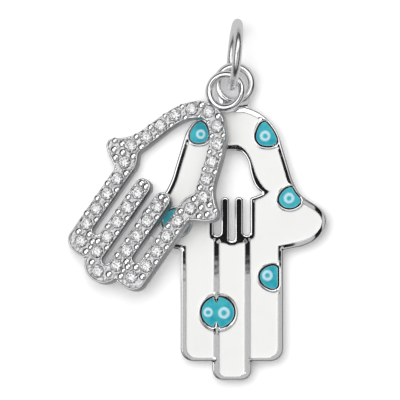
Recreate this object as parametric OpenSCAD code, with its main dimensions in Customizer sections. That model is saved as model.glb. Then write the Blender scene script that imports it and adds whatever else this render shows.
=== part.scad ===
// Two hamsa hands on one jump ring: a large hand with white and turquoise enamel lies on its
// back, and a small openwork hand set with round stones leans on it. Millimetres.
// The origin is on the large hand's back, where its fingers meet its palm. Its fingers point
// to -Y and its loop to +Y.

/* [Enamel hand] */
// Height of the palm, from where the fingers start to its top
palm_h = 10.7; // [9:0.1:13]
// Width over the tips of the two thumbs
thumb_w = 14.24; // [12:0.02:17]
// Width over the three fingers
fingers_w = 7.66; // [6.6:0.02:9]
// Length of the side fingers
finger_l = 8.3; // [7:0.1:10]
// How far the middle finger reaches past the side fingers
middle_more = 1.4; // [1:0.1:2]
// Width of the middle finger
middle_w = 2.92; // [2.5:0.02:3.6]
// Thickness of the plate
plate_t = 1.5; // [1.3:0.05:2]
// Radius of a side finger's outer corner
finger_round = 0.95; // [0.5:0.05:1.3]
// Radius of the middle finger's corners
middle_round = 0.75; // [0.45:0.05:1]
// How much rounder the cells' corners are at the tips, as a share of the room beside them
cell_rounder = 0.4; // [0:0.05:0.6]

/* [Enamel cells] */
// Width of the rim round the hand
rim_w = 0.42; // [0.3:0.01:0.6]
// Width of the rim at the finger tips
tip_rim = 0.27; // [0.2:0.01:0.42]
// Width of the two bars between the fingers
bar_w = 0.45; // [0.3:0.01:0.6]
// Depth of the cells under the top of the rim
cell_d = 0.45; // [0.3:0.01:0.7]
// How far the enamel stays under the top of the rim
enamel_low = 0.14; // [0.08:0.01:0.2]
// Clear space between an enamel and its cell, and between two layers of enamel
fit = 0.02; // [0.01:0.005:0.04]

/* [Eyes] */
// Width of an eye's cell on the palm
palm_eye_w = 1.46; // [1.2:0.02:1.8]
// Width of an eye's cell on a thumb
thumb_eye_w = 1.58; // [1.2:0.02:1.8]
// Size of the left palm eye's cell, as a share of the right one's
left_palm_eye = 0.88; // [0.86:0.02:1]
// Height of the eye's cell on the right finger
finger_eye_h = 1.66; // [1.4:0.02:1.9]
// Diameter of the double eye's cell on the left bar
double_eye_d = 2.4; // [2:0.02:2.6]
// Height of the double eye's cell, as a share of its width
double_eye_flat = 0.93; // [0.88:0.01:1]
// Width of the wall round an eye's cell
eye_wall = 0.29; // [0.24:0.01:0.38]
// How far the palm and thumb eyes' cells reach into the rim, as a share of its width
eye_in_rim = 0.4; // [0.2:0.05:0.5]
// Outer diameter of an eye's pale ring
iris_d = 0.96; // [0.8:0.02:1.1]
// Diameter of the pupil inside the ring
pupil_d = 0.36; // [0.25:0.01:0.5]
// Thickness of the pale ring
iris_t = 0.04; // [0.03:0.005:0.06]

/* [Window] */
// Width of the window's opening, over its small thumbs
window_w = 4.5; // [3.8:0.05:5]
// Height of the window's opening
window_h = 6.86; // [6:0.02:7.4]
// Height of the opening's lower end over the start of the fingers
window_y = 0.6; // [0.5:0.02:0.9]
// Width of the border round the window
window_rim = 0.34; // [0.25:0.01:0.45]
// Width of each of the window's two bars
window_bar = 0.62; // [0.45:0.01:0.7]
// Width of the slot between the window's bars
window_slot = 0.42; // [0.3:0.01:0.6]

/* [Loops and jump ring] */
// Inner diameter of the enamel hand's loop
loop_bore = 1.9; // [1.8:0.02:2.4]
// Wire of the enamel hand's loop
loop_wire = 0.64; // [0.5:0.02:0.7]
// How far the loop's centre line lies under the plate's front
loop_drop = 0.2; // [0.1:0.01:0.32]
// Length of the neck between the palm's top and the loop
neck_l = 0.16; // [0:0.01:0.4]
// How far the loop stands to the right of the hand's middle
loop_x = 0.19; // [-0.3:0.01:0.3]
// Inner diameter of the stone hand's loop
small_bore = 1.96; // [1.9:0.02:2.4]
// Wire of the stone hand's loop
small_wire = 0.56; // [0.45:0.01:0.6]
// Height of the small loop's underside over the stone hand's back
small_rise = 0.22; // [0.1:0.01:0.3]
// Inner diameter of the jump ring
ring_bore = 4.08; // [4:0.02:5]
// Wire of the jump ring
ring_wire = 0.66; // [0.5:0.02:0.7]
// Play kept between the jump ring's wire and the loop over it
ring_play = 0.09; // [0.07:0.01:0.15]
// How far the jump ring is turned to the side
ring_turn = 5.2; // [0:0.1:6]
// How far the jump ring leans to the side
ring_lean = 4.6; // [0:0.1:6]

/* [Stone hand] */
// Width over the tips of the stone hand's thumbs
small_w = 10.36; // [9:0.02:12]
// Length from the top of its arch to the waist under the thumbs
arch_l = 8.06; // [7:0.02:9.5]
// Length from the waist to the tips of the side fingers
strip_l = 6.85; // [6:0.05:8]
// How far its middle finger reaches past the side fingers
small_more = 0.9; // [0.6:0.05:1.2]
// Width over its outer finger strips
strips_w = 7.02; // [6.8:0.02:8]
// Width of each finger strip
strip_w = 1.24; // [1.18:0.01:1.3]
// Width of the slot between the two inner strips
mid_slot = 0.64; // [0.5:0.02:0.8]
// How far the loop's wire and the arch overlap where they are soldered
solder = 0.15; // [0.1:0.01:0.25]
// Thickness of the stone hand
small_t = 1; // [0.9:0.05:1.2]
// How far the hand is turned to the side, in degrees
turn = 34.8; // [30:0.2:40]
// How much higher its loop end lies, in degrees
pitch = 0.6; // [0:0.1:1.5]
// Clear space under the lower thumb
thumb_gap = 0.14; // [0.05:0.01:0.3]
// Clear space between the two loops where they cross
cross_gap = 0.07; // [0.05:0.01:0.15]
// Share of the jump ring's play in the small loop that the hand has slid through
slide = 0.86; // [0.6:0.01:0.9]

/* [Stones] */
// Diameter of a stone
stone_d = 0.95; // [0.85:0.01:1]
// Stones on each side of the row, after the one at the top of the arch
side_stones = 11; // [10:1:11]
// Stones on each inner strip
strip_stones = 5; // [4:1:5]
// Thickness of a stone's girdle
girdle_t = 0.04; // [0.03:0.005:0.06]
// Clear space between a stone and its seat
seat_gap = 0.02; // [0.01:0.005:0.03]
// How far the girdle lies under the metal's face
girdle_low = 0.06; // [0.02:0.01:0.1]
// Diameter of a grain bead
bead_d = 0.38; // [0.25:0.01:0.42]
// How far the beads of a pair stand to each side of the row
bead_side = 0.4; // [0.32:0.01:0.42]
// Clear space between a bead and a stone
bead_gap = 0.03; // [0.02:0.005:0.05]

/* [Hidden] */
$fn = 48;
// Facets round a stone, steps of a smoothed curve and of a small rounded corner
facets = 16;
curve_steps = 3;
corner_steps = 6;
// How far a cut runs past the face that it opens
cut = 0.2;

// Half widths and heights that the tables below are shares of
thumb_r = thumb_w / 2;
finger_r = fingers_w / 2;
small_r = small_w / 2;
middle_l = finger_l + middle_more;

// Right side of the palm, from its top to the notch over the fingers:
// [share of half the width over the thumbs, share of the palm's height]
PALM = [
    [0.133, 1], [0.218, 0.981], [0.292, 0.957], [0.356, 0.925], [0.409, 0.89], [0.452, 0.851],
    [0.485, 0.813], [0.506, 0.771], [0.528, 0.722], [0.55, 0.673], [0.576, 0.617], [0.604, 0.554],
    [0.626, 0.505], [0.657, 0.456], [0.69, 0.414], [0.736, 0.379], [0.796, 0.35], [0.866, 0.323],
    [0.924, 0.297], [0.967, 0.266], [0.993, 0.231], [1, 0.196], [0.98, 0.147], [0.938, 0.105],
    [0.886, 0.074], [0.823, 0.049], [0.739, 0.028], [0.65, 0.015]
];
// Right side of the window's opening down to the start of its straight slots:
// [share of half its width, share of its height]
WINDOW = [
    [0.13, 0.998], [0.31, 0.984], [0.44, 0.94], [0.54, 0.875], [0.593, 0.787], [0.662, 0.7],
    [0.751, 0.628], [0.88, 0.573], [1, 0.536], [0.853, 0.509], [0.66, 0.488], [0.604, 0.47]
];
// The same for the outer edge of the window's border
BORDER = [
    [0.2, 1.066], [0.433, 1.017], [0.607, 0.929], [0.711, 0.831], [0.813, 0.733], [0.951, 0.65],
    [1.116, 0.585], [1.24, 0.552], [1.04, 0.492], [0.84, 0.464], [0.775, 0.446]
];
// A palm eye's cell about its ring: [share of its width across, share of its width up]
PALM_EYE = [
    [0, 0.72], [-0.13, 0.68], [-0.26, 0.54], [-0.385, 0.27], [-0.445, 0], [-0.4, -0.23],
    [-0.21, -0.43], [0.1, -0.495], [0.38, -0.46], [0.565, -0.32], [0.6, -0.04], [0.53, 0.22],
    [0.33, 0.51], [0.14, 0.67]
];
// A thumb eye's cell about its ring, in the same way
THUMB_EYE = [
    [0.04, 0.51], [-0.2, 0.395], [-0.39, 0.17], [-0.465, -0.06], [-0.41, -0.24], [-0.24, -0.4],
    [0, -0.46], [0.2, -0.43], [0.395, -0.33], [0.52, -0.18], [0.5, -0.03], [0.36, 0.2],
    [0.25, 0.41], [0.15, 0.49]
];
// The finger eye's cell about its ring, as shares of its height. The rim cuts off its right side
FINGER_EYE = [
    [0.47, 0.28], [0.37, 0.41], [0.2, 0.438], [-0.086, 0.334], [-0.288, 0.13], [-0.328, -0.1],
    [-0.23, -0.33], [-0.03, -0.5], [0.2, -0.59], [0.36, -0.565], [0.47, -0.4], [0.53, -0.06]
];
// Right side of the stone hand's outer edge, from the top of the arch to the waist:
// [share of half its width, share of the arch's length]
ARCH = [
    [0.07, 0.004], [0.2, 0.035], [0.326, 0.107], [0.44, 0.2], [0.508, 0.29], [0.562, 0.372],
    [0.608, 0.455], [0.652, 0.535], [0.695, 0.605], [0.751, 0.665], [0.857, 0.735], [0.945, 0.775],
    [1, 0.815], [0.992, 0.865], [0.94, 0.9], [0.86, 0.935], [0.76, 0.968], [0.678, 1]
];
// Right side of the opening inside the arch, in the same way
ARCH_HOLE = [
    [0.05, 0.156], [0.114, 0.191], [0.197, 0.237], [0.27, 0.305], [0.326, 0.38], [0.37, 0.46],
    [0.409, 0.54], [0.45, 0.62], [0.485, 0.69], [0.52, 0.75], [0.5, 0.79], [0.455, 0.845],
    [0.436, 0.9]
];
// Right side of the row of stones along the arch and the thumb, in the same way
ROW = [
    [0, 0.076], [0.13, 0.094], [0.245, 0.15], [0.34, 0.22], [0.4, 0.293], [0.443, 0.365],
    [0.481, 0.446], [0.522, 0.53], [0.56, 0.607], [0.62, 0.68], [0.675, 0.745], [0.672, 0.81],
    [0.62, 0.885], [0.58, 0.96]
];
// Right side of the finger tips: [share of half the strips' width, share of the last part's length]
TIPS = [
    [1, 0], [0.965, 0.2], [0.88, 0.37], [0.75, 0.47], [0.6, 0.49], [0.46, 0.47], [0.41, 0.44],
    [0.37, 0.6], [0.285, 0.8], [0.15, 0.95], [0, 1]
];
// Share of the strips' length that the finger tips take at their ends
tips_from = 0.87;
// Share of the small loop's radius at which it crosses over the big loop
cross_at = 0.84;
// Direction from the jump ring's wire to the small loop's centre, in degrees
slide_to = 220;

function unit(v) = v / norm(v);
function flip(p) = [for (i = [len(p) - 1:-1:0]) [-p[i].x, p[i].y]];
function scaled(p, w, h) = [for (q = p) [q.x * w, q.y * h]];
function at(p, c) = [for (q = p) q + c];
// Points of an arc about c
function arc(c, r, from, to, n = corner_steps) =
    [for (i = [0:n]) c + r * [cos(from + (to - from) * i / n), sin(from + (to - from) * i / n)]];
// A smooth curve through the points of an open list
function spline(a, b, c, d, t) =
    (2 * b + (c - a) * t + (2 * a - 5 * b + 4 * c - d) * t * t + (3 * b - a - 3 * c + d) * t * t * t) / 2;
function smooth(p, n = curve_steps) = concat(
    [for (i = [0:len(p) - 2], j = [0:n - 1])
        spline(p[max(i - 1, 0)], p[i], p[i + 1], p[min(i + 2, len(p) - 1)], j / n)],
    [p[len(p) - 1]]);
function smooth_loop(p, n = curve_steps) =
    let (k = len(p))
    [for (i = [0:k - 1], j = [0:n - 1])
        spline(p[(i + k - 1) % k], p[i], p[(i + 1) % k], p[(i + 2) % k], j / n)];
// A closed counterclockwise outline with every side moved inwards by d
function inset(p, d) =
    let (k = len(p))
    [for (i = [0:k - 1])
        let (u = unit(p[i] - p[(i + k - 1) % k]), v = unit(p[(i + 1) % k] - p[i]))
        p[i] + d * ([-u.y, u.x] + [-v.y, v.x]) / (1 + u * v)];
// The point at length s along an open list of points, and the direction there
function length_of(p, to) = to < 1 ? 0 : norm(p[to] - p[to - 1]) + length_of(p, to - 1);
function step_at(p, s, i = 0) =
    i >= len(p) - 2 || s <= norm(p[i + 1] - p[i]) ? i : step_at(p, s - norm(p[i + 1] - p[i]), i + 1);
function along(p, s) =
    let (i = step_at(p, s), u = unit(p[i + 1] - p[i]))
    p[i] + u * (s - length_of(p, i));

// Outline of the enamel hand, with its finger tips made longer by more and rounder at the corners
function hand(more = 0, rounder = 0) =
    let (
        f = finger_l + more,
        m = middle_l + more,
        mr = middle_round + rounder * (middle_w / 2 - middle_round),
        fr = finger_round + 0.42 * rounder * (finger_r - middle_w / 2 - finger_round),
        right = concat(
            arc([middle_w / 2 - mr, mr - m], mr, 270, 360),
            [[middle_w / 2, -f]],
            arc([finger_r - fr, fr - f], fr, 270, 360),
            [[finger_r, 0]],
            [for (i = [len(PALM) * curve_steps - curve_steps:-1:0])
                smooth(scaled(PALM, thumb_r, palm_h))[i]]
        )
    )
    concat(right, flip(right));

// Widths and heights of the window
slot_x = window_slot / 2;
window_bar_x = slot_x + window_bar;
window_side = WINDOW[len(WINDOW) - 1].x * window_w / 2;
slots_y = window_y + window_rim + 0.4 * window_slot;
mid_slot_y = window_y + 0.25 * window_slot;
// The bars between the fingers, at the sides of the middle finger
bar_x = middle_w / 2 - bar_w / 2 - (rim_w - tip_rim) / 2;

module window_border(grow = 0) {
    side = smooth(scaled(BORDER, window_w / 2, window_h));
    // The lower end waves round the slots
    wave = smooth([
        [0, mid_slot_y - window_y - window_rim * 1.05], [slot_x * 0.9, -window_rim * 0.72],
        [slot_x + window_rim * 0.65, -window_rim * 0.4], [window_bar_x, -window_rim * 0.15],
        [window_side - slot_x * 0.4, slots_y - window_y - window_rim * 1.15],
        [window_side + window_rim * 0.8, slots_y - window_y - window_rim * 0.6],
        [window_side + window_rim * 1.08, slots_y - window_y + window_rim * 0.4]
    ]);
    right = concat([for (i = [1:len(wave) - 1]) wave[i]], [for (i = [len(side) - 1:-1:0]) side[i]]);
    translate([0, window_y])
        polygon(inset(concat(right, flip(right)), -grow));
}

// A bar with a round top that stands on y, between two x
function round_bar(x0, x1, top, bottom) = concat(
    [[x0, bottom], [x1, bottom]],
    arc([(x0 + x1) / 2, top - (x1 - x0) / 2], (x1 - x0) / 2, 0, 180));
// A slot with a round lower end
function round_slot(x0, x1, top, bottom) = concat(
    arc([(x0 + x1) / 2, bottom + (x1 - x0) / 2], (x1 - x0) / 2, 180, 360),
    [[x1, top], [x0, top]]);

module window_hole() {
    side = smooth(scaled(WINDOW, window_w / 2, window_h));
    mid = side[len(side) - 1].y + window_y;
    half = [for (i = [len(side) - 1:-1:0]) side[i] + [0, window_y]];
    difference() {
        polygon(concat(half, flip(half)));
        for (s = [-1, 1])
            polygon(at(round_bar(-window_bar / 2, window_bar / 2, mid + window_bar / 4, mid - cut),
                [s * (slot_x + window_bar / 2), 0]));
    }
    // The slots reach a little into the opening over them
    polygon(round_slot(-slot_x, slot_x, mid + slot_x / 4, mid_slot_y));
    for (s = [-1, 1])
        polygon(at(round_slot(window_bar_x, window_side, mid + slot_x / 4, slots_y),
            [s < 0 ? -window_bar_x - window_side : 0, 0]));
}

// Where the eyes are: [x, y] of each ring
palm_eye = [0.348 * thumb_r, 0.797 * palm_h];
thumb_eye = [0.6 * thumb_r, 0.363 * palm_h];
finger_eye = [finger_r - rim_w - finger_eye_h * 0.455, -0.228 * finger_l];
double_eye = [-bar_x + bar_w / 4, -0.56 * finger_l];
left_thumb_eye = [-0.586 * thumb_r, 0.195 * palm_h];
// The rings of the left palm eye and of the double eye's left side are the smallest, and the one on
// its right side is the largest
small_iris = 0.9;
large_iris = 1.1;
IRISES = [
    [-palm_eye.x * 0.94, palm_eye.y * 1.016, small_iris], [palm_eye.x, palm_eye.y, 1],
    [thumb_eye.x, thumb_eye.y, 1],
    [finger_eye.x, finger_eye.y, 1],
    [double_eye.x - (double_eye_d - iris_d * small_iris) / 2 + 2 * fit, double_eye.y, small_iris],
    [double_eye.x + double_eye_d * 0.19, double_eye.y - double_eye_d * 0.016, large_iris],
    [left_thumb_eye.x, left_thumb_eye.y, 1]
];
function iris_at(i) = [IRISES[i].x, IRISES[i].y];

// Outline of each eye's cell, made larger by grow
function eye(i, grow = 0) =
    i == 0 ? at(flip(inset(smooth_loop(PALM_EYE * palm_eye_w * left_palm_eye), -grow)), iris_at(0)) :
    i == 1 ? at(inset(smooth_loop(PALM_EYE * palm_eye_w), -grow), iris_at(1)) :
    i == 2 ? at(inset(smooth_loop(THUMB_EYE * thumb_eye_w), -grow), iris_at(2)) :
    i == 3 ? at(inset(smooth_loop(FINGER_EYE * finger_eye_h), -grow), iris_at(3)) :
    i == 4 ? arc(double_eye, double_eye_d / 2 + grow, 0, 360 - 360 / 48, 47) :
    arc(left_thumb_eye, thumb_eye_w * 0.608 + grow, 0, 360 - 360 / 36, 35);
eyes = 6;

// The floor of the cells inside the rim, smaller by less all round
module inside_rim(less = 0, wider = 0) {
    polygon(inset(hand(rim_w - tip_rim, cell_rounder), rim_w * (1 - wider) + less));
}

module bars(grow = 0) {
    for (s = [-1, 1])
        translate([s * bar_x - bar_w / 2 - grow, -middle_l])
            square([bar_w + 2 * grow, middle_l + slots_y - window_rim / 2]);
}

// White cells, smaller by less all round
module white(less = 0) {
    difference() {
        inside_rim(less);
        window_border(less);
        bars(less);
        for (i = [0:eyes - 1]) polygon(eye(i, eye_wall + less));
    }
}

module middle_zone() {
    translate([-bar_x, -middle_l]) square([2 * bar_x, middle_l + window_y]);
}

// Blue cell of an eye, smaller by less all round
module blue(i, less = 0) {
    difference() {
        intersection() {
            translate(double_eye)
                scale([1, i == 4 ? double_eye_flat : 1])
                    translate(-double_eye) polygon(eye(i, -less));
            inside_rim(less, i < 3 ? eye_in_rim : 0);
        }
        // Two wedges of metal, where the bar would run on, nearly part the double eye
        if (i == 4)
            for (s = [-1, 1])
                translate([-bar_x, double_eye.y])
                    polygon(s * [
                        [0, double_eye_d * 0.26 - 2 * less],
                        [bar_w * 0.7 + less, double_eye_d * 0.52], [-bar_w * 0.7 - less, double_eye_d * 0.52]
                    ]);
    }
}

// Loops and jump ring
loop_r = (loop_bore + loop_wire) / 2;
loop_y = palm_h + neck_l + loop_r + loop_wire / 2;
loop_z = plate_t - loop_drop;
small_loop_r = (small_bore + small_wire) / 2;
small_loop_z = small_rise + small_wire / 2;
ring_r = (ring_bore + ring_wire) / 2;
ring_z = ring_r * cos(ring_lean) + ring_wire / 2;
// The ring stands over the top of the big loop, with its wire outside the loop's
reach = ring_r - (ring_wire + loop_wire) / 2 - ring_play;
rise = min(ring_z - loop_z, reach);
ring_at = [loop_x, loop_y + loop_r + sqrt(reach * reach - rise * rise), loop_z + rise];

// The stone hand lies over the big loop and leans until its lower thumb is just over the surface
roll = asin((loop_z + (loop_wire + small_wire) / 2 + cross_gap - small_loop_z - thumb_gap
    - sin(pitch) * (arch_l * 0.82 + small_loop_r)) / (small_r - cross_at * small_loop_r));
small_z = loop_z + (loop_wire + small_wire) / 2 + cross_gap + cross_at * small_loop_r * sin(roll);
// Where the jump ring's wire passes through the small loop, and where that puts the loop
drop = ring_at.z - small_z;
back = sqrt(ring_r * ring_r - drop * drop);
wire_at = [ring_at.x - back * sin(ring_turn) - drop * tan(ring_lean), ring_at.y - back * cos(ring_turn)];
play = slide * (small_bore - ring_wire) / 2;
small_at = wire_at + play * [cos(slide_to), sin(slide_to)];

module place_small() {
    translate([small_at.x, small_at.y, small_z])
        rotate([0, 0, -turn]) rotate([pitch, 0, 0]) rotate([0, -roll, 0])
            translate([0, 0, -small_loop_z]) children();
}

module torus(r, wire) {
    rotate_extrude() translate([r, 0]) circle(d = wire);
}

module enamel_hand() {
    color("silver") difference() {
        union() {
            linear_extrude(plate_t) polygon(hand());
            translate([loop_x, loop_y, loop_z]) torus(loop_r, loop_wire);
            // The neck under the loop
            translate([loop_x, 0, plate_t / 4]) linear_extrude(loop_z - plate_t / 4 + loop_wire / 4)
                polygon([
                    [-loop_r * 0.76, palm_h - rim_w], [loop_r * 0.76, palm_h - rim_w],
                    [loop_r * 0.76, palm_h], [loop_r * 0.98, loop_y - loop_r * 0.66],
                    [loop_r * 0.56, loop_y - loop_r * 0.85],
                    [-loop_r * 0.56, loop_y - loop_r * 0.85], [-loop_r * 0.98, loop_y - loop_r * 0.66],
                    [-loop_r * 0.76, palm_h]
                ]);
        }
        translate([0, 0, -cut]) linear_extrude(plate_t + 2 * cut) window_hole();
        translate([0, 0, plate_t - cell_d]) linear_extrude(cell_d + cut) white();
        for (i = [0:eyes - 1])
            translate([0, 0, plate_t - cell_d]) linear_extrude(cell_d + cut) blue(i);
    }
}

enamel_z = plate_t - cell_d + fit;
enamel_t = cell_d - fit - enamel_low;

module palm_enamel() {
    color("white") translate([0, 0, enamel_z]) linear_extrude(enamel_t)
        difference() {
            white(fit);
            middle_zone();
        }
}

module middle_finger_enamel() {
    color("white") translate([0, 0, enamel_z]) linear_extrude(enamel_t)
        intersection() {
            white(fit);
            middle_zone();
        }
}

module eye_enamel(i) {
    color("mediumturquoise") translate([0, 0, enamel_z]) linear_extrude(enamel_t) blue(i, fit);
}

module eye_ring(i) {
    color("lightcyan") translate([IRISES[i].x, IRISES[i].y, enamel_z + enamel_t + fit / 2])
        difference() {
            cylinder(d = iris_d * IRISES[i].z, h = iris_t);
            translate([0, 0, -cut]) cylinder(d = pupil_d * IRISES[i].z, h = iris_t + 2 * cut);
        }
}

// The stone hand in its own frame: its loop is about the origin and its fingers point to -Y
arch_top = small_loop_r + small_wire / 2 - solder;
waist = arch_top + arch_l;
strip_end = waist + strip_l;
strips_r = strips_w / 2;
strip_x = mid_slot / 2 + strip_w / 2;
side_x = strips_r - strip_w / 2;
tips_y = waist + strip_l * tips_from;
tips_h = strip_end + small_more - tips_y;

function arch_points(p) = [for (q = p) [q.x * small_r, -arch_top - q.y * arch_l]];
function tip_points() = [for (q = TIPS) [q.x * strips_r, -tips_y - q.y * tips_h]];

module small_outline() {
    a = smooth(arch_points(ARCH));
    t = smooth(tip_points());
    right = concat([for (i = [len(t) - 2:-1:0]) t[i]], [for (i = [len(a) - 1:-1:0]) a[i]]);
    polygon(concat([[0, t[len(t) - 1].y]], right, flip(right)));
}

module small_hole() {
    a = smooth(arch_points(ARCH_HOLE));
    inner = side_x - strip_w / 2;
    low = a[len(a) - 1].y - strip_w / 2;
    half = concat([[inner, low]], [for (i = [len(a) - 1:-1:0]) a[i]]);
    difference() {
        union() {
            polygon(concat(half, flip(half)));
            for (s = [-1, 1])
                polygon(at(
                    round_slot(strip_x + strip_w / 2, inner, low + strip_w / 3, -tips_y + strip_w * 0.85),
                    [s < 0 ? -strip_x - strip_w / 2 - inner : 0, 0]));
            polygon(round_slot(-mid_slot / 2, mid_slot / 2, low + strip_w / 3, -tips_y - strip_w * 0.27));
        }
        for (s = [-1, 1])
            polygon(at(round_bar(-strip_w / 2, strip_w / 2, -arch_top - arch_l * 0.915, -tips_y - strip_w),
                [s * strip_x, 0]));
    }
}

// Rows of stones, from the path of each row
row_path = concat(
    smooth(arch_points(ROW)),
    [[side_x, -waist - strip_w / 2], [side_x, -tips_y + strip_w * 1.1]],
    [[side_x - strip_w * 0.38, -tips_y + strip_w * 0.05]]);
row_step = length_of(row_path, len(row_path) - 1) / side_stones;
right_row = [for (i = [1:side_stones]) along(row_path, i * row_step)];
top_stone = [0, row_path[0].y];
tip_stone = [0, -strip_end - small_more + strip_w * 0.6];
strip_first = -waist - strip_w * 0.42;
strip_last = -tips_y + strip_w * 0.09;
inner_row = [for (i = [0:strip_stones - 1])
    [strip_x, strip_first + (strip_last - strip_first) * i / (strip_stones - 1)]];
STONES = concat([top_stone], right_row, flip(right_row), inner_row, flip(inner_row), [tip_stone]);

// Beads stand in pairs between neighbours of a row, and as large as the stones leave room for
function pair(a, b) =
    let (
        m = (a + b) / 2,
        u = unit(b - a),
        r = min(bead_d / 2, norm([norm(b - a) / 2, bead_side]) - stone_d / 2 - bead_gap)
    )
    [for (s = [-1, 1]) [m.x - s * u.y * bead_side, m.y + s * u.x * bead_side, r]];
function pairs(row) = [for (i = [0:len(row) - 2]) each pair(row[i], row[i + 1])];
right_line = concat([top_stone], right_row);
// Single beads: at a thumb's tip, on the top of an inner strip and at the ends of the fingers
thumb_bead = [small_r * 0.885, -arch_top - arch_l * 0.815, bead_d / 2];
thumb_bead_2 = [small_r * 0.86, -arch_top - arch_l * 0.885, bead_d / 2];
SINGLES = [
    thumb_bead, thumb_bead_2,
    [strip_x - bead_side * 0.55, inner_row[0].y + stone_d / 2 + bead_gap + bead_d * 0.42, bead_d / 2],
    [strip_x + bead_side * 0.55, inner_row[0].y + stone_d / 2 + bead_gap + bead_d * 0.42, bead_d / 2],
    [strip_x * 0.92, inner_row[strip_stones - 1].y - stone_d / 2 - bead_gap - bead_d * 0.42, bead_d / 2],
    [side_x - strip_w * 1.06, right_row[side_stones - 1].y - strip_w * 0.2, bead_d / 2]
];
BEADS = concat(pairs(right_line), pairs(inner_row), SINGLES);

seat_r = stone_d / 2 + seat_gap;
girdle_z = small_t - girdle_low;

// The seat of a stone, which follows its lower half and opens to the back
module seat() {
    rotate_extrude() polygon([
        [0, -small_t - cut], [seat_r * 0.42, -small_t - cut],
        [seat_r * 0.42, -girdle_t / 2 - stone_d * pavilion * 0.62],
        [seat_r, -girdle_t / 2], [seat_r, girdle_low + cut], [0, girdle_low + cut]
    ]);
}

module pave_hand() {
    color("gainsboro") place_small() {
        difference() {
            union() {
                linear_extrude(small_t) difference() {
                    small_outline();
                    small_hole();
                }
                translate([0, 0, small_loop_z]) torus(small_loop_r, small_wire);
            }
            for (p = STONES) translate([p.x, p.y, girdle_z]) seat();
        }
        for (s = [-1, 1], b = BEADS)
            translate([s * b.x, b.y, small_t - b.z * 0.3]) sphere(r = b.z);
    }
}

// Heights of a stone's lower and upper part, as shares of its diameter
pavilion = 0.43;
crown = 0.15;
// Shares of the radius: the table, and the inner corners of the upper and lower facets
table = 0.56;
crown_mid = 0.8;
pavilion_mid = 0.32;

function around(r, z, n, shift = 0) =
    [for (i = [0:n - 1]) [r * cos((i + shift) * 360 / n), r * sin((i + shift) * 360 / n), z]];

// A brilliant cut: table, 8 star, 8 kite and 16 small facets over the girdle, and 8 main and
// 16 small facets under it
module brilliant() {
    r = stone_d / 2;
    h = facets / 2;
    c = cos(180 / h);
    top_z = girdle_t / 2 + stone_d * crown;
    points = concat(
        around(r * table, top_z, h),
        around(r * crown_mid, top_z - stone_d * crown * (crown_mid * c - table) / (1 - table), h, 0.5),
        around(r, girdle_t / 2, facets),
        around(r, -girdle_t / 2, facets),
        around(r * pavilion_mid, -girdle_t / 2 - stone_d * pavilion * (1 - pavilion_mid * c), h, 0.5),
        [[0, 0, -girdle_t / 2 - stone_d * pavilion]]
    );
    m = h;
    g = m + h;
    b = g + facets;
    l = b + facets;
    tip = l + h;
    polyhedron(points, concat(
        [[for (i = [h - 1:-1:0]) i]],
        [for (i = [0:h - 1]) [i, (i + 1) % h, m + i]],
        [for (i = [0:h - 1]) [i, m + i, g + 2 * i, m + (i + h - 1) % h]],
        [for (i = [0:h - 1]) [m + i, g + 2 * i + 1, g + 2 * i]],
        [for (i = [0:h - 1]) [m + i, g + (2 * i + 2) % facets, g + 2 * i + 1]],
        [for (k = [0:facets - 1]) [b + k, g + k, g + (k + 1) % facets, b + (k + 1) % facets]],
        [for (i = [0:h - 1]) [l + i, b + 2 * i, b + 2 * i + 1]],
        [for (i = [0:h - 1]) [l + i, b + 2 * i + 1, b + (2 * i + 2) % facets]],
        [for (i = [0:h - 1]) [tip, l + (i + h - 1) % h, b + 2 * i, l + i]]
    ));
}

module stone(i) {
    color("white") place_small() translate([STONES[i].x, STONES[i].y, girdle_z]) brilliant();
}

module jump_ring() {
    color("silver") translate(ring_at) rotate([0, 0, -ring_turn]) rotate([0, ring_lean, 0])
        rotate([0, 90, 0]) torus(ring_r, ring_wire);
}

enamel_hand();
palm_enamel();
middle_finger_enamel();
for (i = [0:eyes - 1])
    eye_enamel(i);
for (i = [0:len(IRISES) - 1])
    eye_ring(i);
pave_hand();
for (i = [0:len(STONES) - 1])
    stone(i);
jump_ring();
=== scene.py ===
# Two hamsa hands on one jump ring: the looks of the pendant, in the order in which it is made.
# Sizes are in millimetres. A mesh becomes metres when its piece is made.
from math import cos, pi, radians, sin, sqrt

import bmesh
import bpy
import numpy as np
from mathutils import Matrix, Vector
from mathutils.geometry import delaunay_2d_cdt


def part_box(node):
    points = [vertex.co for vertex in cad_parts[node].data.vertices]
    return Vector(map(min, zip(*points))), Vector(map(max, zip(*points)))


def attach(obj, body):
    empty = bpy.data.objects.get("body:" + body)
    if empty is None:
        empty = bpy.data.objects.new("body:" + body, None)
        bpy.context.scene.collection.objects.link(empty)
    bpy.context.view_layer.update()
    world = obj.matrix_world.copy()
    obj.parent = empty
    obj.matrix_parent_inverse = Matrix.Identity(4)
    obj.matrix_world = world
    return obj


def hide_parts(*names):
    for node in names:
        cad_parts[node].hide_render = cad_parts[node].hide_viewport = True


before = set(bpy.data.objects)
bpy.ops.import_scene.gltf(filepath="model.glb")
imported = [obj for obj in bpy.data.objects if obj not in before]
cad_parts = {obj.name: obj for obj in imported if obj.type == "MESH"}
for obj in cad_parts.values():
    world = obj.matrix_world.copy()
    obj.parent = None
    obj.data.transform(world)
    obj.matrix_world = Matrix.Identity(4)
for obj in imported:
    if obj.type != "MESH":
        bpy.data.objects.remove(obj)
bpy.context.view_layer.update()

MM = 0.001

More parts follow.
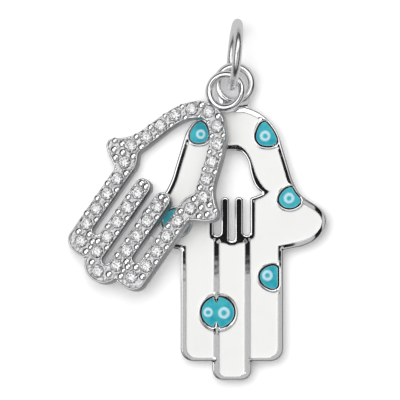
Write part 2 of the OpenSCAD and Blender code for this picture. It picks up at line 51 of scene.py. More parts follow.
# The large hand
# Cast in silver in one piece and plated with rhodium: a flat plate with a rim, walls between the
# cells, a small pierced hand, and a wire loop soldered to the palm by a short neck. Polishing has
# rounded the free edges and left a bevel on the walls where they meet the enamel.
hand_top = 1.5
free_crown = 0.13
free_steepness = 0.95
eye_side_crown = 0.1
eye_side_steepness = 0.5
eye_wall = 0.29
eye_bevel = 0.17
cell_bevel = 0.035
bevel_slope = 0.62
wall_rows = [0.02, 0.035, 0.05, 0.08, 0.12, 0.17, 0.22]
wall_grid = 0.1
rim_step = 0.11
rim_seam = 2e-3
sharp_edge = 28
same_point = 1e-4
same_plane = radians(0.3)
same_height = 1e-3
level = 0.999


def joined(node):
    """A node's mesh in millimetres with its corners joined, to copy from"""
    shape = bmesh.new()
    shape.from_mesh(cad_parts[node].data)
    bmesh.ops.scale(shape, vec=(1 / MM,) * 3, verts=shape.verts)
    bmesh.ops.remove_doubles(shape, verts=shape.verts, dist=same_point)
    bmesh.ops.dissolve_limit(shape, angle_limit=same_plane, verts=shape.verts, edges=shape.edges)
    return shape


def flat_faces(shape, z, up=1):
    """The level faces at height z that look up, or down where up is -1"""
    return [f for f in shape.faces
            if f.normal.z * up > level and abs(f.calc_center_median().z - z) < same_height]


def rings_of(faces):
    """The closed rings of edges round a patch of faces, as arrays of points with metal on the left"""
    patch = set(faces)
    after = {}
    for face in faces:
        for corner in face.loops:
            if not any(other in patch for other in corner.edge.link_faces if other is not face):
                after.setdefault(corner.vert, []).append(corner.link_loop_next.vert)
    rings = []
    while after:
        start = next(iter(after))
        ring = []
        vert = start
        while True:
            ring.append(vert.co.xy[:])
            following = after[vert].pop()
            if not after[vert]:
                del after[vert]
            vert = following
            if vert is start:
                break
        rings.append(np.array(ring))
    return rings


def edges_of(rings):
    """The starts and the ends of the edges of all the rings"""
    starts = np.concatenate(rings)
    ends = np.concatenate([np.roll(ring, -1, axis=0) for ring in rings])
    return starts, ends


def reach(points, starts, ends):
    """Distance from each point to the nearest of the edges, worked out for some points at a time"""
    batch = 4000
    along = ends - starts
    square = (along ** 2).sum(1)
    distance = np.empty(len(points))
    for i in range(0, len(points), batch):
        from_start = points[i:i + batch, None, :] - starts[None]
        share = np.clip((from_start * along).sum(2) / square, 0, 1)
        off = from_start - share[..., None] * along
        distance[i:i + batch] = np.sqrt((off ** 2).sum(2).min(1))
    return distance


def inside(points, starts, ends):
    """Which points the rings go round, one height at a time"""
    found = np.zeros(len(points), bool)
    heights, which = np.unique(points[:, 1], return_inverse=True)
    order = np.argsort(which, kind="stable")
    bounds = np.searchsorted(which[order], np.arange(len(heights) + 1))
    for k, y in enumerate(heights):
        cross = (starts[:, 1] > y) != (ends[:, 1] > y)
        p = starts[cross]
        q = ends[cross]
        crossings = np.sort(p[:, 0] + (y - p[:, 1]) * (q[:, 0] - p[:, 0]) / (q[:, 1] - p[:, 1]))
        these = order[bounds[k]:bounds[k + 1]]
        found[these] = np.searchsorted(crossings, points[these, 0]) % 2 == 1
    return found


def offset_points(ring, d):
    """Points at distance d on the metal's side of a ring, and less far out at its sharpest corners"""
    sharpest = 0.3
    before = ring - np.roll(ring, 1, axis=0)
    after = np.roll(ring, -1, axis=0) - ring
    u = before / np.linalg.norm(before, axis=1)[:, None]
    v = after / np.linalg.norm(after, axis=1)[:, None]
    across = np.stack([-u[:, 1] - v[:, 1], u[:, 0] + v[:, 0]], 1)
    return ring + d * (across / (1 + (u * v).sum(1))[:, None].clip(sharpest))


def skin(rings, rows, step):
    """Triangles over the area inside the rings, with rows of points at set distances from the
    rings and an even grid of points between them. Returns the points and the triangles."""
    row_slack = 0.02
    grid_row_height = 0.866
    grid_clearance = 0.45
    finest = 1e-5
    starts, ends = edges_of(rings)
    points = [np.concatenate(rings)]
    for d in rows:
        row = np.concatenate([offset_points(ring, d) for ring in rings])
        true = np.abs(reach(row, starts, ends) - d) < row_slack * d + same_height
        points.append(row[true & inside(row, starts, ends)])
    low = points[0].min(0)
    high = points[0].max(0)
    xs = np.arange(low[0], high[0], step)
    ys = np.arange(low[1], high[1], step * grid_row_height)
    grid = np.array([(x + (j % 2) * step / 2, y) for j, y in enumerate(ys) for x in xs])
    grid = grid[inside(grid, starts, ends)]
    clear = rows[-1] + step * grid_clearance if rows else 0
    points.append(grid[reach(grid, starts, ends) > clear])
    edges = []
    at = 0
    for ring in rings:
        edges += [(at + i, at + (i + 1) % len(ring)) for i in range(len(ring))]
        at += len(ring)
    corners = [Vector(p) for p in np.concatenate(points)]
    verts, _, faces, *_ = delaunay_2d_cdt(corners, edges, [], 0, finest)
    verts = np.array([v[:] for v in verts])
    faces = np.array([f[:] for f in faces])
    return verts, faces[inside(verts[faces].mean(1), starts, ends)]


def crown(d, r, steep=1.0):
    """How far a rounded edge lies under the top, at distance d from it"""
    return steep * (r - np.minimum(d, r)) ** 2 / (2 * r)


def piece_from(shape, name, material, smooth=35):
    """An object in metres from a mesh in millimetres, smooth but for edges over an angle in degrees"""
    bmesh.ops.scale(shape, vec=(MM,) * 3, verts=shape.verts)
    mesh = bpy.data.meshes.new(name)
    shape.to_mesh(mesh)
    shape.free()
    mesh.materials.append(material)
    piece = bpy.data.objects.new(name, mesh)
    bpy.context.scene.collection.objects.link(piece)
    mesh.shade_smooth()
    mesh.set_sharp_from_angle(angle=radians(smooth))
    return piece


class Knob:
    """An output of a finish's node, which +, -, *, / and ** work on"""

    def __init__(self, finish, socket):
        self.finish = finish
        self.socket = socket

    def work(self, do, *values):
        """A Math node on the values"""
        return self.finish.node("ShaderNodeMath", {"operation": do}, list(values))

    def __add__(self, other):
        return self.work("ADD", self, other)

    def __radd__(self, other):
        return self.work("ADD", other, self)

    def __sub__(self, other):
        return self.work("SUBTRACT", self, other)

    def __rsub__(self, other):
        return self.work("SUBTRACT", other, self)

    def __mul__(self, other):
        return self.work("MULTIPLY", self, other)

    def __rmul__(self, other):
        return self.work("MULTIPLY", other, self)

    def __truediv__(self, other):
        return self.work("DIVIDE", self, other)

    def __rtruediv__(self, other):
        return self.work("DIVIDE", other, self)

    def __pow__(self, other):
        return self.work("POWER", self, other)

    def __rpow__(self, other):
        return self.work("POWER", other, self)

    def between(self, low, high):
        """0 at low and under, 1 at high and over, smooth between"""
        return self.finish.node("ShaderNodeMapRange", {"interpolation_type": "SMOOTHSTEP"},
                                {"Value": self, "From Min": low, "From Max": high})


class Finish:
    """A material, or the studio's light, built node by node"""

    def __init__(self, name, owner=None):
        self.made = owner or bpy.data.materials.new(name)
        self.made.use_nodes = True
        self.tree = self.made.node_tree
        self.tree.nodes.clear()

    def node(self, kind, settings=None, sockets=None, out=0):
        """A node with its settings, then its sockets' values or links, by name or in order"""
        node = self.tree.nodes.new(kind)
        for name, value in (settings or {}).items():
            setattr(node, name, value)
        pairs = sockets.items() if isinstance(sockets, dict) else enumerate(sockets or [])
        for name, value in pairs:
            if isinstance(value, Knob):
                self.tree.links.new(value.socket, node.inputs[name])
            else:
                node.inputs[name].default_value = value
        return Knob(self, node.outputs[out]) if node.outputs else None

    def mix(self, mask, a, b):
        """Colour a where the mask is 0 and b where it is 1"""
        return self.node("ShaderNodeMix", {"data_type": "RGBA"}, {0: mask, 6: a, 7: b}, out=2)

    def place(self):
        """Place on the piece, in millimetres"""
        spot = self.node("ShaderNodeTexCoord", out=3)
        return self.node("ShaderNodeVectorMath", {"operation": "SCALE"}, {0: spot, "Scale": 1 / MM})

    def axes(self, vector):
        """The X, Y and Z of a vector"""
        split = self.node("ShaderNodeSeparateXYZ", {}, [vector])
        return [Knob(self, socket) for socket in split.socket.node.outputs]

    def noise(self, scale, detail):
        """Soft noise with a number of waves to the millimetre"""
        return self.node("ShaderNodeTexNoise", {}, {"Vector": self.place(), "Scale": scale, "Detail": detail})

    def bump(self, height, depth=1.0):
        """A bumpy normal from a height and how many millimetres a height of 1 stands for"""
        return self.node("ShaderNodeBump", {}, {"Strength": 1.0, "Distance": depth * MM, "Height": height})

    def surface(self, sockets):
        """The finished material, with a Principled shader on these sockets"""
        shader = self.node("ShaderNodeBsdfPrincipled", {}, sockets)
        self.node("ShaderNodeOutputMaterial", {}, {"Surface": shader})
        return self.made


def bright_silver(name, wave, rough=0.045, bow=0.0):
    """Polished, rhodium-plated silver: a mirror with soft waves from the polishing wheel and
    faint scuffs that dull it here and there. The bow is the slope that the wheel left on the
    tops towards the two ends of the piece, besides a little at its sides."""
    bow_middle = 3.6
    bow_flatness = 30
    side_reach = 5
    side_drop = 0.06
    scuff_rough = 0.06
    finish = Finish(name)
    waves = finish.noise(0.8, 2.0)
    scuffs = finish.noise(9.0, 5.0)
    height = waves * wave
    if bow:
        x, y, _ = finish.axes(finish.place())
        towards_ends = ((y - bow_middle) ** 2 + bow_flatness) ** 0.5 * bow
        towards_sides = (x / side_reach) ** 8 * side_drop
        height = height - towards_ends - towards_sides
    return finish.surface({
        "Base Color": finish.mix(scuffs.between(0.45, 0.75), (0.93, 0.932, 0.94, 1), (0.88, 0.882, 0.888, 1)),
        "Metallic": 1.0,
        "Roughness": scuffs.between(0.4, 0.8) * scuff_rough + rough,
        "Normal": finish.bump(height)})


cast_silver = bright_silver("cast_silver", wave=0.01, bow=0.145)
casting = joined("enamel_hand")
tops = flat_faces(casting, hand_top)
rim_edges = {e for f in tops for e in f.edges if sum(g in tops for g in e.link_faces) == 1}
for edge in list(rim_edges):
    cuts = int(edge.calc_length() / rim_step)
    if cuts:
        bmesh.ops.subdivide_edges(casting, edges=[edge], cuts=cuts)
tops = flat_faces(casting, hand_top)
top_rings = rings_of(tops)


def fills(ring, node):
    """Whether the node's enamel lies in the cell that the ring goes round"""
    cell_gap = 0.1
    low, high = (np.array(corner[:2]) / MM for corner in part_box(node))
    return max(abs(ring.min(0) - low).max(), abs(ring.max(0) - high).max()) < cell_gap


eye_cell_count = 6
eye_cells = [f"eye_enamel_{i + 1}" for i in range(eye_cell_count)]
white_cells = ["palm_enamel", "middle_finger_enamel"]
eye_rings = [ring for ring in top_rings if any(fills(ring, node) for node in eye_cells)]
white_rings = [ring for ring in top_rings if any(fills(ring, node) for node in white_cells)]
open_rings = [ring for ring in top_rings if not any(ring is other for other in eye_rings + white_rings)]
open_edges = edges_of(open_rings)
eye_edges = edges_of(eye_rings)
white_edges = edges_of(white_rings)
beside_eye = eye_wall * 1.2
by_eye = reach((white_edges[0] + white_edges[1]) / 2, *eye_edges) < beside_eye


def under_top(points):
    """How far the finished metal lies under its highest level. The free edges are rounded most by
    the polishing, and the ones beside the white enamel, which is ground flush, the least."""
    return np.max([crown(reach(points, *open_edges), free_crown, free_steepness),
                   bevel_slope * (eye_bevel - reach(points, *eye_edges)),
                   crown(reach(points, white_edges[0][by_eye], white_edges[1][by_eye]),
                         eye_side_crown, eye_side_steepness),
                   bevel_slope * (cell_bevel - reach(points, *white_edges))], axis=0)


verts, faces = skin(top_rings, wall_rows, wall_grid)
ring_verts = {vert for face in tops for vert in face.verts}
bmesh.ops.delete(casting, geom=tops, context="FACES")
ring_verts = [vert for vert in ring_verts if vert.is_valid]
ring_points = np.array([vert.co.xy[:] for vert in ring_verts])
for vert, down in zip(ring_verts, under_top(ring_points)):
    vert.co.z = hand_top - down
top_verts = [casting.verts.new((*p, z)) for p, z in zip(verts, hand_top - under_top(verts))]
for face in faces:
    casting.faces.new([top_verts[i] for i in face])
bmesh.ops.remove_doubles(casting, verts=casting.verts, dist=rim_seam)
bmesh.ops.recalc_face_normals(casting, faces=casting.faces)
large_hand = piece_from(casting, "large_hand_casting", cast_silver, sharp_edge)
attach(large_hand, "root")
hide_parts("enamel_hand")

# The white enamel
# Opaque enamel, filled into the cells of the palm and the fingers, fired and ground flush. It lies
# a little under the rim and climbs the walls in a narrow meniscus.
white_meniscus = 0.02
white_rows = [0.03, 0.07, 0.12, 0.2, 0.32]
white_grid = 0.4
finish = Finish("white_enamel")
cloud = finish.noise(0.35, 2.0)
ripple = finish.noise(0.8, 1.0)
white_enamel = finish.surface({
    "Base Color": finish.mix(cloud.between(0.3, 0.7), (0.83, 0.83, 0.815, 1), (0.85, 0.85, 0.838, 1)),
    "Roughness": 0.25,
    "Coat Weight": 0.5,
    "Coat Roughness": 0.03,
    "Normal": finish.bump(ripple, 0.01)})


def fine(ring, step):
    """The ring with points added so that none of its edges is longer than the step"""
    out = []
    for p, q in zip(ring, np.roll(ring, -1, axis=0)):
        n = max(1, int(np.ceil(np.linalg.norm(q - p) / step)))
        out += [p + (q - p) * i / n for i in range(n)]
    return np.array(out)


def enamelled(node, name, material, meniscus, dome, rows, step):
    """The enamel of a cell, out to its walls, with a meniscus and a dome over the CAD's top"""
    out_to_wall = 0.03
    edge_step = 0.12
    meniscus_reach = 0.07
    dome_reach = 0.25
    flat = joined(node)
    z_top = max(v.co.z for v in flat.verts)
    z_low = min(v.co.z for v in flat.verts)
    flat_rings = rings_of(flat_faces(flat, z_top))
    flat.free()
    rings = [fine(offset_points(ring, -out_to_wall), edge_step) for ring in flat_rings]
    verts, faces = skin(rings, rows, step)
    d = reach(verts, *edges_of(rings))
    height = z_top + meniscus * np.exp(-d / meniscus_reach) + dome * (1 - np.exp(-d / dome_reach))
    glass = bmesh.new()
    top = [glass.verts.new((*p, z)) for p, z in zip(verts, height)]
    for face in faces:
        glass.faces.new([top[i] for i in face])
    base = bmesh.ops.extrude_face_region(glass, geom=glass.faces[:])["geom"]
    for vert in (part for part in base if isinstance(part, bmesh.types.BMVert)):
        vert.co.z = z_low
    bmesh.ops.recalc_face_normals(glass, faces=glass.faces)
    piece = piece_from(glass, name, material)
    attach(piece, "root")
    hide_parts(node)
    return piece


for node in white_cells:
    name = node.replace("_enamel", "_white")
    piece = enamelled(node, name, white_enamel, white_meniscus, 0.0, white_rows, white_grid)

# The turquoise enamel of the eyes
# Glassy enamel, dropped into the six small cells and fired once more, so that it stands in a low
# dome between its walls.
eye_meniscus = 0.03
eye_dome = 0.03
eye_rows = [0.03, 0.07, 0.12, 0.2]
eye_grid = 0.16
finish = Finish("turquoise_enamel")
swirl = finish.noise(1.1, 2.0)
turquoise_enamel = finish.surface({
    "Base Color": finish.mix(swirl.between(0.35, 0.65), (0.02, 0.33, 0.42, 1), (0.05, 0.44, 0.51, 1)),
    "Roughness": 0.2,
    "Coat Weight": 1.0,
    "Coat Roughness": 0.03})
for node in eye_cells:
    name = node.replace("enamel", "turquoise")
    piece = enamelled(node, name, turquoise_enamel, eye_meniscus, eye_dome, eye_rows, eye_grid)

# The pale rings of the eyes
# Each is a dab of pale enamel with a turquoise pupil, put on while the cell's enamel was wet, so
# that the edges of the colours run a little.
dab_count = 7
dab_sides = 40
dab_angles = [2 * pi * k / dab_sides for k in range(dab_sides)]
dab_steps = (0.2, 0.4, 0.6, 0.8, 0.93, 1.0)
dab_sink = 0.02
dab_edge = 60
colour_run = 0.2
finish = Finish("pale_enamel")
out_from_middle = finish.node("ShaderNodeAttribute", {"attribute_name": "out"}, {}, out=2)
wavy = out_from_middle + (finish.noise(4.0, 2.0) - 0.5) * colour_run
ring_mask = wavy.between(0.2, 0.56) * (1 - wavy.between(0.6, 1.0))
pale_enamel = finish.surface({
    "Base Color": finish.mix(ring_mask, (0.035, 0.4, 0.48, 1), (0.5, 0.72, 0.8, 1)),
    "Roughness": 0.25,
    "Coat Weight": 1.0,
    "Coat Roughness": 0.03})
for i in range(1, dab_count + 1):
    low, high = (np.array(corner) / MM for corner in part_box(f"eye_ring_{i}"))
    centre = (low + high) / 2
    dab_r = (high[0] - low[0]) / 2
    base = low[2] - dab_sink
    dab = bmesh.new()
    rows = []
    for t in dab_steps:
        z = base + (high[2] - base) * sqrt(1 - t ** 4)
        out_r = dab_r * t
        rows.append([dab.verts.new((centre[0] + out_r * cos(angle), centre[1] + out_r * sin(angle), z))
                     for angle in dab_angles])
    tip = dab.verts.new((centre[0], centre[1], high[2]))
    for k in range(dab_sides):
        j = (k + 1) % dab_sides
        dab.faces.new((tip, rows[0][k], rows[0][j]))
        for inner, outer in zip(rows, rows[1:]):
            dab.faces.new((inner[k], outer[k], outer[j], inner[j]))
    dab.faces.new(reversed(rows[-1]))
    shares = [t for t in dab_steps for k in range(dab_sides)] + [0.0]
    piece = piece_from(dab, f"eye_ring_dab_{i}", pale_enamel, dab_edge)
    piece.data.attributes.new("out", "FLOAT", "POINT").data.foreach_set("value", shares)
    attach(piece, "root")
    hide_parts(f"eye_ring_{i}")

# The stone hand
# A cast openwork hand, a band along its outline with two strips between the fingers, which leans
# on the large hand's loop. The stones' seats are drilled into it, a thin polished thread is left
# along its edges, and the metal inside the thread is cut down and left rough from the graver.
band_t = 1.0
seat_r = 0.495
girdle_z = 0.94
girdle_half = 0.02
cone_h = 0.253
cone_r = 0.208
seat_sides = 24
widest_hole = 0.6
border_step = 0.13
band_rows = [0.025, 0.05, 0.08, 0.12, 0.16]
band_grid = 0.11
back_grid = 0.5
thread_crown = 0.08
thread_w = 0.1
cut_wall = 0.06
cut_depth = 0.1
chip_depth = 0.012
seat_lip = 0.03
lip_start = 0.01
lip_end = 0.06
back_bevel = 0.05
back_round = 0.014
band_seam = 1e-3
band_edge = 50
sliver = 1e-4
upright_below = 0.5
smallest_side = 0.002
bright_depth = 0.04
rough_depth = 0.09
loop_z = 0.5
loop_at = (-0.482249, 11.8821, 2.29037)
turn = radians(-34.8)
pitch = radians(0.6)
roll = radians(-17.6197)
lean = (Matrix.Translation(loop_at) @ Matrix.Rotation(turn, 4, "Z") @ Matrix.Rotation(pitch, 4, "X")
        @ Matrix.Rotation(roll, 4, "Y") @ Matrix.Translation((0, 0, -loop_z)))

# Its face is bright on the thread and rough where the graver has cut it; there it is also painted a little
# darker, as shade in the cut-down recess
finish = Finish("graver_cut_silver_and_shade")
cut = finish.node("ShaderNodeAttribute", {"attribute_name": "cut"}, {}, out=2)
chips = finish.node("ShaderNodeTexVoronoi", {}, {"Vector": finish.place(), "Scale": 4.5})
cut_silver_and_shade = finish.surface({
    "Base Color": finish.mix(cut, (0.93, 0.932, 0.94, 1), (0.86, 0.863, 0.87, 1)),
    "Metallic": 1.0,
    "Roughness": cut * 0.3 + 0.1,
    "Normal": finish.bump(chips * cut * 0.05)})

# Its sides keep a grainy as-cast texture, and their dark grey colour is painted shade, for the shade beside
# and under the leaning hand
finish = Finish("side_silver_painted_shade")
grit = finish.noise(7.0, 4.0)
shaded_side_silver = finish.surface({
    "Base Color": finish.mix(grit.between(0.35, 0.65), (0.34, 0.343, 0.35, 1), (0.46, 0.463, 0.47, 1)),
    "Metallic": 1.0,
    "Roughness": 0.36,
    "Normal": finish.bump(grit, 0.012)})


def ease(x, low, high):
    """0 at low and 1 at high, smooth between"""
    t = np.clip((x - low) / (high - low), 0, 1)
    return t * t * (3 - 2 * t)


def graver_chips(x, y):
    """Heights from -1 to 1 of the chips that the graver leaves, as crossed waves that sway"""
    wave_x = 21
    wave_y = 19
    sway = 2
    sway_x = 17
    sway_y = 13
    across = x * wave_x + sway * np.sin(y * sway_y)
    upwards = y * wave_y + sway * np.sin(x * sway_x)
    return np.sin(across) * np.sin(upwards)


def bands(shape, ring_rows):
    """Bands of faces between closed rings of points, each with its height or its points' heights"""
    rows = []
    for ring, z in ring_rows:
        rows.append([shape.verts.new((*p, up)) for p, up in zip(ring, np.broadcast_to(z, len(ring)))])
    for low, high in zip(rows, rows[1:]):
        for i in range(len(low)):
            j = (i + 1) % len(low)
            shape.faces.new((low[i], low[j], high[j], high[i]))


model = joined("pave_hand")
model.transform(lean.inverted())
model.normal_update()
back_rings = [ring[::-1] for ring in rings_of(flat_faces(model, 0, up=-1))]
model.free()
borders = [fine(ring, border_step) for ring in back_rings if np.ptp(ring[:, 0]) > widest_hole]
spots = np.array([(ring.min(0) + ring.max(0)) / 2 for ring in back_rings
                  if np.ptp(ring[:, 0]) <= widest_hole])
turns = -2 * pi * np.arange(seat_sides) / seat_sides
circle = np.stack([np.cos(turns), np.sin(turns)], 1)
seats = [spot + circle * seat_r for spot in spots]
holes = [spot + circle * cone_r for spot in spots]
verts, faces = skin(borders + seats, band_rows, band_grid)
from_edge = reach(verts, *edges_of(borders))
from_seat = reach(verts, *edges_of(seats))
floor_depth = cut_depth + chip_depth * graver_chips(verts[:, 0], verts[:, 1])
cut_down = ease(from_edge, thread_w, thread_w + cut_wall) * floor_depth
lip = seat_lip * (1 - ease(from_seat, lip_start, lip_end))
height = band_t - crown(from_edge, thread_crown) - cut_down + lip
band = bmesh.new()
top = [band.verts.new((*p, z)) for p, z in zip(verts, height)]
for face in faces:
    band.faces.new([top[i] for i in face])
back_verts, back_faces = skin([offset_points(ring, back_bevel) for ring in borders] + holes, [], back_grid)
back = [band.verts.new((*p, 0)) for p in back_verts]
for face in back_faces:
    band.faces.new([back[i] for i in reversed(face)])
at = 0
for ring in borders:
    bands(band, [(offset_points(ring, back_bevel), 0), (offset_points(ring, back_round), back_round),
                 (ring, back_bevel), (ring, height[at:at + len(ring)])])
    at += len(ring)
for ring, hole in zip(seats, holes):
    bands(band, [(hole, 0), (hole, girdle_z - girdle_half - cone_h), (ring, girdle_z - girdle_half),
                 (ring, height[at:at + len(ring)])])
    at += len(ring)
bmesh.ops.remove_doubles(band, verts=band.verts, dist=band_seam)
open_faces = {edge.link_faces[0] for edge in band.edges if edge.is_boundary}
slivers = [face for face in open_faces if face.calc_area() < sliver]
bmesh.ops.delete(band, geom=slivers, context="FACES")
bmesh.ops.recalc_face_normals(band, faces=band.faces)
band.normal_update()
# The upright sides take the second material, whose dark grey is painted shade
for face in band.faces:
    face.material_index = int(abs(face.normal.z) < upright_below and face.calc_area() > smallest_side)
# Where the face is cut down: rough, and painted a little darker as shade in the recess
cut_and_shade_share = [ease(vert.co.z, band_t - bright_depth, band_t - rough_depth) * (vert.co.z > band_t / 2)
             for vert in band.verts]
band.transform(lean)
stone_hand = piece_from(band, "stone_hand_band", cut_silver_and_shade, band_edge)
stone_hand.data.materials.append(shaded_side_silver)
stone_hand.data.attributes.new("cut", "FLOAT", "POINT").data.foreach_set("value", cut_and_shade_share)
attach(stone_hand, "root")
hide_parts("pave_hand")

# The stone hand's loop
# A closed ring of round silver wire, soldered flat to the top of the arch, through which the jump
# ring passes.
loop_mid_r = 1.26
loop_wire_r = 0.28
loop_steps = 96
loop_sides = 24
stone_silver = bright_silver("stone_hand_silver", wave=0.006, rough=0.08)


def new_tree(name, sizes):
    """A tree of Geometry Nodes with named inputs for its sizes, and its input and output nodes"""
    tree = bpy.data.node_groups.new(name, "GeometryNodeTree")
    tree.interface.new_socket("Geometry", in_out="INPUT", socket_type="NodeSocketGeometry")
    for label in sizes:
        tree.interface.new_socket(label, in_out="INPUT", socket_type="NodeSocketFloat")
    tree.interface.new_socket("Geometry", in_out="OUTPUT", socket_type="NodeSocketGeometry")
    return tree, tree.nodes.new("NodeGroupInput"), tree.nodes.new("NodeGroupOutput")


def link(tree, *pairs):
    """Links from the first socket of each pair to the second"""
    for start, end in pairs:
        tree.links.new(start, end)


def grown(name, start, tree, geometry, out, sizes, material):
    """Ends a tree of nodes, runs it on a mesh and keeps the result on the stone hand, in metres"""
    seam = 1e-9
    whole = tree.nodes.new("GeometryNodeRealizeInstances")
    dress = tree.nodes.new("GeometryNodeSetMaterial")
    dress.inputs["Material"].default_value = material
    link(tree, (geometry, whole.inputs["Geometry"]),
         (whole.outputs["Geometry"], dress.inputs["Geometry"]),
         (dress.outputs["Geometry"], out.inputs["Geometry"]))
    source = bpy.data.objects.new(name + "_source", start)
    bpy.context.scene.collection.objects.link(source)
    nodes = source.modifiers.new(name, "NODES")
    nodes.node_group = tree
    for item in tree.interface.items_tree:
        if item.in_out == "INPUT" and item.name in sizes:
            nodes[item.identifier] = sizes[item.name]
    ready = source.evaluated_get(bpy.context.evaluated_depsgraph_get())
    mesh = bpy.data.meshes.new_from_object(ready)
    bpy.data.objects.remove(source)
    mesh.name = name
    mesh.materials.clear()
    mesh.materials.append(material)
    mesh.transform(Matrix.Scale(MM, 4) @ lean)
    shell = bmesh.new()
    shell.from_mesh(mesh)
    bmesh.ops.remove_doubles(shell, verts=shell.verts, dist=seam)
    bmesh.ops.recalc_face_normals(shell, faces=shell.faces)
    for face in shell.faces:
        face.material_index = 0
    shell.to_mesh(mesh)
    shell.free()
    mesh.shade_smooth()
    piece = bpy.data.objects.new(name, mesh)
    bpy.context.scene.collection.objects.link(piece)
    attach(piece, "root")


loop_sizes = {"Ring radius": loop_mid_r, "Wire radius": loop_wire_r, "Ring height": loop_z}
tree, come, out = new_tree("stone_hand_loop", loop_sizes)
ring = tree.nodes.new("GeometryNodeCurvePrimitiveCircle")
wire = tree.nodes.new("GeometryNodeCurvePrimitiveCircle")
ring.inputs["Resolution"].default_value = loop_steps
wire.inputs["Resolution"].default_value = loop_sides
sweep = tree.nodes.new("GeometryNodeCurveToMesh")
rise = tree.nodes.new("ShaderNodeCombineXYZ")
lift = tree.nodes.new("GeometryNodeTransform")
link(tree, (come.outputs["Ring radius"], ring.inputs["Radius"]),
     (come.outputs["Wire radius"], wire.inputs["Radius"]),
     (ring.outputs["Curve"], sweep.inputs["Curve"]),
     (wire.outputs["Curve"], sweep.inputs["Profile Curve"]),
     (come.outputs["Ring height"], rise.inputs["Z"]),
     (rise.outputs["Vector"], lift.inputs["Translation"]),
     (sweep.outputs["Mesh"], lift.inputs["Geometry"]))
grown("stone_hand_loop", bpy.data.meshes.new("loop_start"), tree, lift.outputs["Geometry"], out,
      loop_sizes, stone_silver)

# The grains
# Beads of the stone hand's own silver, pushed up with a graver between the stones and burnished
# round. Two stand beside each pair of neighbours, and single ones fill the corners.
grain_r = 0.28
smallest_grain = 0.11
grain_side = 0.44
grain_sink = 0.02
grain_press = 0.06
grain_flatness = 0.36
grain_nearness = 0.7
grain_sides = 12
grain_steps = 8
widest_spacing = 1.6
thumb_grains = [(4.79, -7.76), (4.44, -8.32), (4.0, -8.76), (4.17, -7.63)]
slot_grains = [(1.16, -9.22), (0.72, -9.22)]
tip_grains = [(0.865, -15.62), (1.576, -15.31)]
spacing = np.linalg.norm(spots[:, None] - spots[None], axis=2)
grains = []
for i in range(len(spots)):
    for j in range(i + 1, len(spots)):
        if spacing[i, j] < widest_spacing:
            middle = (spots[i] + spots[j]) / 2
            along = (spots[j] - spots[i]) / spacing[i, j]
            aside = grain_side * np.array([-along[1], along[0]])
            grains += [middle - aside, middle + aside]
for mirror in (-1, 1):
    grains += [np.array(p) * (mirror, 1) for p in thumb_grains + slot_grains + tip_grains]
grains = np.array(grains)
to_stone = np.linalg.norm(grains[:, None] - spots[None], axis=2).min(1) - seat_r
to_border = np.where(inside(grains, *edges_of(borders)), reach(grains, *edges_of(borders)), 0)
sizes = np.minimum(np.minimum(to_stone, to_border) + grain_press, grain_r)
keep = sizes > smallest_grain
for i in range(len(grains)):
    if keep[i]:
        near = np.linalg.norm(grains - grains[i], axis=1) < (sizes[i] + sizes) * grain_nearness
        keep &= ~(near & (np.arange(len(grains)) > i))
seeds = bpy.data.meshes.new("grain_places")
seeds.from_pydata([(*p, band_t - grain_sink) for p in grains[keep]], [], [])
seeds.attributes.new("size", "FLOAT", "POINT").data.foreach_set("value", sizes[keep].astype(np.float32))
tree, come, out = new_tree("grain_beads", ["Flatness"])
ball = tree.nodes.new("GeometryNodeMeshUVSphere")
ball.inputs["Segments"].default_value = grain_sides
ball.inputs["Rings"].default_value = grain_steps
ball.inputs["Radius"].default_value = 1.0
size = tree.nodes.new("GeometryNodeInputNamedAttribute")
size.data_type = "FLOAT"
size.inputs["Name"].default_value = "size"
high = tree.nodes.new("ShaderNodeMath")
high.operation = "MULTIPLY"
scale = tree.nodes.new("ShaderNodeCombineXYZ")
put = tree.nodes.new("GeometryNodeInstanceOnPoints")
link(tree, (come.outputs["Geometry"], put.inputs["Points"]),
     (ball.outputs["Mesh"], put.inputs["Instance"]),
     (size.outputs["Attribute"], high.inputs[0]),
     (come.outputs["Flatness"], high.inputs[1]),
     (size.outputs["Attribute"], scale.inputs["X"]),
     (size.outputs["Attribute"], scale.inputs["Y"]),
     (high.outputs[0], scale.inputs["Z"]),
     (scale.outputs[0], put.inputs["Scale"]))
grown("stone_hand_grains", seeds, tree, put.outputs["Instances"], out, {"Flatness": grain_flatness},
      stone_silver)

# The stones
# Round cubic zirconias, cut and polished, each in its drilled seat with its girdle held under the
# grains. Where the facets meet, the wheel has left small steps that break up the reflections.
facet_scale = 5.0
facet_step = 0.01
finish = Finish("zirconia")
facets = {"Vector": finish.place(), "Scale": facet_scale}
# Small patches of each stone are coloured lighter and darker: painted sparkle, for facets that catch light
# and shade
sparkle_cell_colour = finish.node("ShaderNodeTexVoronoi", {}, facets, out=1)
facet_height = finish.node("ShaderNodeTexVoronoi", {}, facets)
painted_facet_sparkle = finish.node("ShaderNodeSeparateColor", {}, [sparkle_cell_colour])
zirconia = finish.surface({
    "Base Color": finish.mix(painted_facet_sparkle, (0.82, 0.825, 0.84, 1), (0.97, 0.975, 0.98, 1)),
    "Roughness": 0.0,
    "IOR": 2.15,
    "Transmission Weight": 1.0,
    "Normal": finish.bump(facet_height, facet_step)})


def put_on(node, material):
    """Puts the material on a solid of the CAD"""
    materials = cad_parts[node].data.materials
    materials.clear()
    materials.append(material)


for i in range(1, len(spots) + 1):
    put_on(f"stone_{i}", zirconia)

# The jump ring
# A ring of drawn silver wire, opened to take both loops and closed again. The draw plate has left
# it less bright than the castings.
wire_silver = bright_silver("wire_silver", wave=0.001, rough=0.24)
put_on("jump_ring", wire_silver)

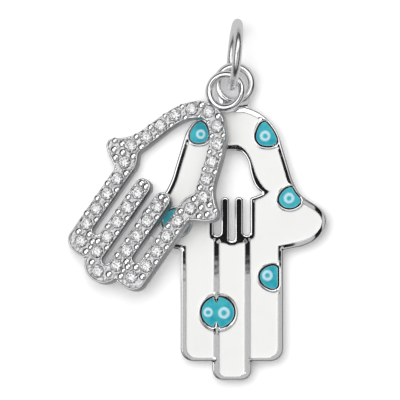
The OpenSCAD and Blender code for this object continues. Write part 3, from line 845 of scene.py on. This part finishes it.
# The studio
# A white table under a light tent, with dark gaps between its panels that draw the black lines
# in the polished metal. The camera looks straight down through a hole in the tent's top. The
# studio's sizes are in metres.
table_half = 0.6
table_glow = 0.12
finish = Finish("table")
table_white = finish.surface({
    "Base Color": (0.93, 0.93, 0.93, 1),
    "Roughness": 0.6,
    "Emission Color": (1, 1, 1, 1),
    "Emission Strength": table_glow})
sheet = bpy.data.meshes.new("table")
corners = [(-1, -1), (1, -1), (1, 1), (-1, 1)]
sheet.from_pydata([(x * table_half, y * table_half, 0) for x, y in corners], [], [(0, 1, 2, 3)])
sheet.materials.append(table_white)
table = bpy.data.objects.new("table", sheet)
bpy.context.scene.collection.objects.link(table)
table.visible_glossy = False

# The light by its direction: the tent from its lower edge up, half of it greyer, with folds that
# hang dark between its panels, then the room's light along the table, and light from under it
tent_edge = (0.62, 0.72)
camera_hole = (0.974, 0.982)
grey_half = 0.36
half_slope = 0.9
half_blur = 0.12
fold_count = 3
fold_turn = 0.9
fold_width = (0.86, 0.97)
fold_top = (0.93, 0.97)
fold_depth = 0.85
room_low = (0.0, 0.03)
room_high = (0.18, 0.26)
room_light = 0.38
under_edge = (-0.05, 0.0)
under_light = 0.4
tent_light = 1.5
darkest = 0.012
finish = Finish("studio", bpy.data.worlds.new("studio"))
x, y, z = finish.axes(finish.node("ShaderNodeTexCoord"))
hole = z.between(*camera_hole)
round_about = finish.node("ShaderNodeMath", {"operation": "ARCTAN2"}, [y, x])
folds = finish.node("ShaderNodeMath", {"operation": "SINE"}, [round_about * fold_count + fold_turn])
gap = folds.between(*fold_width) * (1 - z.between(*fold_top))
bright_half = (y - x * half_slope).between(-half_blur, half_blur)
panels = bright_half * (1 - grey_half) + grey_half
tent = z.between(*tent_edge) * (1 - hole) * panels * (1 - gap * fold_depth)
room = z.between(*room_low) * (1 - z.between(*room_high)) * room_light
under = (1 - z.between(*under_edge)) * under_light
strength = (tent + room + under) * tent_light + darkest
light = finish.node("ShaderNodeBackground", {}, {"Color": (1, 1, 1, 1), "Strength": strength})
finish.node("ShaderNodeOutputWorld", {}, {"Surface": light})
bpy.context.scene.world = finish.made
bpy.context.scene.view_settings.view_transform = "Standard"

# A soft lamp in the tent makes the shadows on the table
lamp_size = 0.2
lamp_watts = 0.64
lamp_at = (-0.045, 0.05, 0.3)
lamp = bpy.data.lights.new("key", "AREA")
lamp.size = lamp_size
lamp.energy = lamp_watts
key = bpy.data.objects.new("key", lamp)
key.visible_glossy = False
key.visible_transmission = False
key.location = lamp_at
key.rotation_euler = (-key.location).to_track_quat("-Z", "Y").to_euler()
bpy.context.scene.collection.objects.link(key)

# The camera stands over the middle of the photograph's frame, which is 30 mm wide
view_middle = (-2.385 * MM, 3.75 * MM)
view_width = 0.03
camera_height = 0.35
camera = bpy.data.cameras.new("camera")
camera.sensor_width = 36
camera.lens = camera.sensor_width * camera_height / view_width
camera.clip_start = 0.01
camera.clip_end = 10
eye = bpy.data.objects.new("camera", camera)
eye.location = (*view_middle, camera_height)
bpy.context.scene.collection.objects.link(eye)
bpy.context.scene.camera = eye
